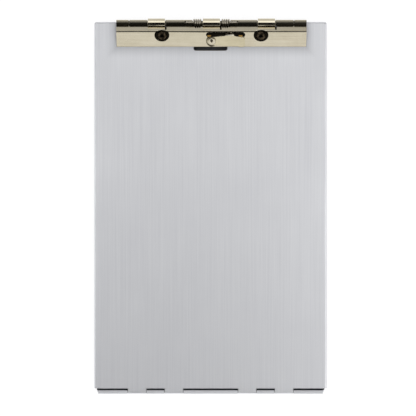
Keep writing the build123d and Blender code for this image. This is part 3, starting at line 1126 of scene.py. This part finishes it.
@dataclass
class WritingLid:
    """The writing plate with the clip's base, rod, rivets and springs on it."""

    places: ClipPlaces
    rivet_spread: float = 33.9
    rivet_reach: float = 8.6
    head_radius: float = 3.4
    head: float = 1.0
    head_round: float = 0.7
    shank_radius: float = 2.0
    tail_radius: float = 2.6
    tail: float = 0.7
    washer_radius: float = 4.5
    washer_sheet: float = 0.8
    washer_play: float = 0.05
    plate_sheet: float = 0.8
    # the painted shade on the base below the jaw:
    jaw_shade_rise: float = 0.3  # the dark below the jaw ends this far above the base
    # the slot's two ends along X, and how far in front of the crease they show, where the painted
    # warm glints sit
    slot_ends: Span = (-1.6, 20.0)
    slot_reach: float = 3.3

    def head_profile(self) -> tuple[Span, ...]:
        """Draws half the set rivet, from its dimple down to its tail.

        Returns:
            Radius and height of each point, measured from the base's top.
        """
        low = -BASE_SHEET - self.plate_sheet - self.washer_sheet
        domed = [
            (
                self.head_radius - self.head_round * (1 - math.cos(turn)),
                self.head - self.head_round * (1 - math.sin(turn)),
            )
            for turn in [math.radians(15 * step) for step in range(7)]
        ]
        return (
            (0.0, self.head - 0.75),
            (0.75, self.head - 0.7),
            (1.3, self.head - 0.1),
            (1.5, self.head),
            *reversed(domed),
            (self.head_radius, 0.0),
            (self.shank_radius, 0.0),
            (self.shank_radius, low),
            (self.tail_radius - 0.1, low),
            (self.tail_radius, low - 0.1),
            (self.tail_radius, low - self.tail + 0.25),
            (self.tail_radius - 0.25, low - self.tail),
            (0.0, low - self.tail),
        )

    def washer_profile(self) -> tuple[Span, ...]:
        """Draws the washer's section, its edges broken.

        Returns:
            Radius and height of each point, back to the first.
        """
        inner = self.shank_radius + self.washer_play
        outer, high = self.washer_radius, self.washer_sheet
        return (
            (inner, 0.1),
            (inner, high - 0.1),
            (inner + 0.1, high),
            (outer - 0.15, high),
            (outer, high - 0.15),
            (outer, 0.15),
            (outer - 0.15, 0.0),
            (inner + 0.1, 0.0),
            (inner, 0.1),
        )

    def plate_finish(self) -> bpy.types.Material:
        """Aluminium, with a painted shadow in a soft halo round the clip and painted shade below
        its springs.

        Returns:
            The plate's material.
        """
        spots = self.places
        # painted shadow: a soft darker halo that the clip casts on the plate
        clip_shadow_halo = Zone(
            (spots.middle_x, spots.rod_y - 7, spots.plate_z), (66, 10.5, 5), "#B2B3B7", 0.45, 14.0
        )
        # painted shade: near black on the plate under the rod, seen past the springs
        spring_bay_shade = Zone(
            (spots.middle_x, spots.rod_y - 1.2, spots.plate_z), (13.6, 2.0, 3), "#3A372F", 0.5, 0.5
        )
        return SatinAluminium(name="lid_aluminium", zones=(clip_shadow_halo, spring_bay_shade)).material()

    def base_finish(self) -> bpy.types.Material:
        """Bright nickel, with painted shade where the jaw covers it and painted warm glints under
        the slot's ends.

        Returns:
            The base's material.
        """
        spots = self.places
        # painted shade: the base is near black wherever the jaw covers it
        under_jaw_shade = Zone(
            (spots.middle_x, spots.rod_y, spots.base_top + self.jaw_shade_rise - ALL_HIGH),
            (ALL_HIGH, ALL_HIGH, ALL_HIGH),
            "#221F19",
            0.42,
            0.5,
        )
        # painted reflections: warm glints on the base, seen at the slot's two ends
        slot_end_glints = [
            Zone(
                (spots.middle_x + end, spots.crease_y - self.slot_reach, spots.base_top),
                (1.3, 1.1, 3),
                "#B08A4C",
                0.3,
                0.6,
            )
            for end in self.slot_ends
        ]
        return BrightNickel(
            name="base_nickel", roughness=0.07, gloss_spread=0.02, zones=(under_jaw_shade, *slot_end_glints)
        ).material()

    def rivet_finish(self) -> bpy.types.Material:
        """Oiled steel with painted black shade in each head's dimple.

        Returns:
            The material of the rivets and their washers.
        """
        spots = self.places
        # painted shade: each rivet head's dimple is black
        rivet_dimple_shades = tuple(
            Zone(
                (spots.middle_x + side * self.rivet_spread, spots.rod_y - self.rivet_reach, 0),
                (1.1, 0, 0),
                "#0E0C0A",
                0.5,
                0.4,
                (1, 1, 0),
            )
            for side in (-1, 1)
        )
        return DrawnSteel(
            "rivet_steel", "#54493A", "#14110E", roughness=0.26, zones=rivet_dimple_shades
        ).material()

    def spring_finish(self) -> bpy.types.Material:
        """Pale drawn wire, with painted shade on the front half of its turns.

        Returns:
            The springs' material.
        """
        spots = self.places
        # painted shade: the springs' turns are dark on the side towards the jaw's lip
        front_turn_shade = Zone(
            (spots.middle_x, spots.rod_y - 2.3, spots.rod_z), (30, 1.7, 5), "#35322A", 0.4, 0.8
        )
        return DrawnSteel(
            "spring_wire", "#CFC8B8", "#B4AD9E", roughness=0.42, zones=(front_turn_shade,)
        ).material()

    def build(self) -> list[bpy.types.Object]:
        """Makes the pieces that turn with the lid, and the clip's springs.

        Returns:
            The plate, base, rod, rivets, washers and springs.
        """
        spots = self.places
        plate, base = self.plate_finish(), self.base_finish()
        rod = DrawnSteel("clip_rod_steel", "#6E6A60", "#4A463D").material()
        rivet, wire = self.rivet_finish(), self.spring_finish()
        row_x = spots.middle_x - self.rivet_spread
        row_y = spots.rod_y - self.rivet_reach
        under = spots.plate_z - self.plate_sheet - self.washer_sheet
        pieces = [
            SheetPiece("writing_plate", "lid_plate", Body.LID, Slot.PLATE_SHEET).build(plate),
            SheetPiece("clip_base", "clip_base_plate", Body.LID, Slot.CLIP_PLATING).build(base),
            SheetPiece("clip_hinge_rod", "clip_rod", Body.LID, Slot.ROD_STEEL).build(rod),
            RivetRow(
                "clip_rivet_pair",
                "clip_rivets",
                Slot.RIVET_STEEL,
                self.head_profile(),
                (row_x, row_y, spots.base_top),
                2 * self.rivet_spread,
            ).build(rivet),
            RivetRow(
                "washer_pair",
                "rivet_washers",
                Slot.RIVET_STEEL,
                self.washer_profile(),
                (row_x, row_y, under),
                2 * self.rivet_spread,
            ).build(rivet),
        ]
        return pieces + [ClipSpring(side, spots).build(wire) for side in (-1, 1)]


@dataclass
class SprungClip:
    """The jaw with its latch: what opens against the springs."""

    places: ClipPlaces
    barrel_radius: float = 2.3
    # half widths of the painted dark lines along the crease and the lip
    crease_shade_half: float = 0.35
    lip_shade_half: float = 0.12
    lever_shade: float = 3.7  # radius of the painted shadow ring round the latch's pivot on the jaw
    # radius of the painted shadow ring round the pivot's head on the lever
    head_shade: float = 2.9
    # radius of the painted shade in the pivot head's dimple
    dimple_shade_radius: float = 0.95
    lever_break: float = 0.18

    def round_pivot(self, radius: float, shade: str, soft: float) -> Zone:
        """Marks a round place about the latch's pivot.

        Args:
            radius: its radius.
            shade: its colour.
            soft: the width of its edge.

        Returns:
            The place.
        """
        spots = self.places
        return Zone(
            (spots.pivot_x, spots.pivot_y, 0), (radius, 0, 0), shade, 0.3, soft, (1, 1, 0)
        )

    def jaw_finish(self) -> bpy.types.Material:
        """Bright nickel with dark barrels, and painted shade along the crease and the lip.

        Returns:
            The jaw's material.
        """
        spots = self.places
        barrels = Zone(
            (0, spots.rod_y - 0.25, spots.rod_z),
            (self.barrel_radius, 0, 0),
            "#3C3931",
            0.2,
            0.3,
            (0, 1, 1),
        )
        # painted shade: a dark line along the jaw's crease
        crease = Zone(
            (0, spots.crease_y, 0), (ALL_ACROSS, self.crease_shade_half, ALL_HIGH), "#565043", 0.25, 0.5
        )
        # painted shadow: a thin dark line along the lip
        lip = Zone(
            (0, spots.lip_y, 0), (ALL_ACROSS, self.lip_shade_half, ALL_HIGH), "#8F8876", 0.25, 0.2
        )
        # painted shadow: a dark ring on the jaw round the lever's pivot end
        lever_shadow_ring = self.round_pivot(self.lever_shade, "#5B5445", 0.5)
        return BrightNickel(zones=(barrels, crease, lip, lever_shadow_ring)).material()

    def lever_finish(self) -> bpy.types.Material:
        """Warmer nickel, with a painted shadow round the pivot's head and a painted highlight where
        the prong is bent down.

        Returns:
            The lever's material.
        """
        spots = self.places
        # painted shadow: a dark ring on the lever round the pivot's head
        head_shadow_ring = self.round_pivot(self.head_shade, "#8F8772", 0.3)
        # painted highlight: a pale, rougher strip along the prong's bend
        bend_highlight = Zone(
            (spots.middle_x + 12.1, spots.crease_y - 2.45, 0),
            (3.1, 0.5, ALL_HIGH),
            "#EDE7D6",
            0.5,
            0.3,
        )
        return BrightNickel(
            name="lever_nickel",
            shade="#D2C9AE",
            worn_shade="#C3B99B",
            zones=(head_shadow_ring, bend_highlight),
        ).material()

    def build(self) -> list[bpy.types.Object]:
        """Makes the jaw, the latch's pivot and its lever.

        Returns:
            The jaw, the pivot, its washer and the lever.
        """
        jaw, lever = self.jaw_finish(), self.lever_finish()
        # painted shade: a dark spot in the pivot head's dimple
        dimple = self.round_pivot(self.dimple_shade_radius, "#4A4438", 0.4)
        rivet = BrightNickel(name="pivot_nickel", zones=(dimple,)).material()
        washer = DrawnSteel("washer_steel", "#5C5040", "#2E2A25", roughness=0.34).material()
        plating = Slot.CLIP_PLATING
        return [
            SheetPiece("clip_jaw", "clip_jaw_plate", Body.JAW, plating).build(jaw),
            SheetPiece("latch_rivet", "pivot_rivet", Body.JAW, plating).build(rivet),
            SheetPiece("latch_washer", "pivot_washer", Body.JAW, Slot.RIVET_STEEL).build(washer),
            SheetPiece(
                "latch_lever", "latch_plate", Body.LATCH, plating, self.lever_break
            ).build(lever),
        ]


def main() -> None:
    """Builds the studio and every sub-assembly in order, and reports each piece."""
    Studio().build()
    places = ClipPlaces.measured()
    for assembly in (FormTray(), WritingLid(places), SprungClip(places)):
        for piece in assembly.build():
            log.info("%s: %d faces", piece.name, len(piece.data.polygons))


if __name__ == "__main__":
    main()
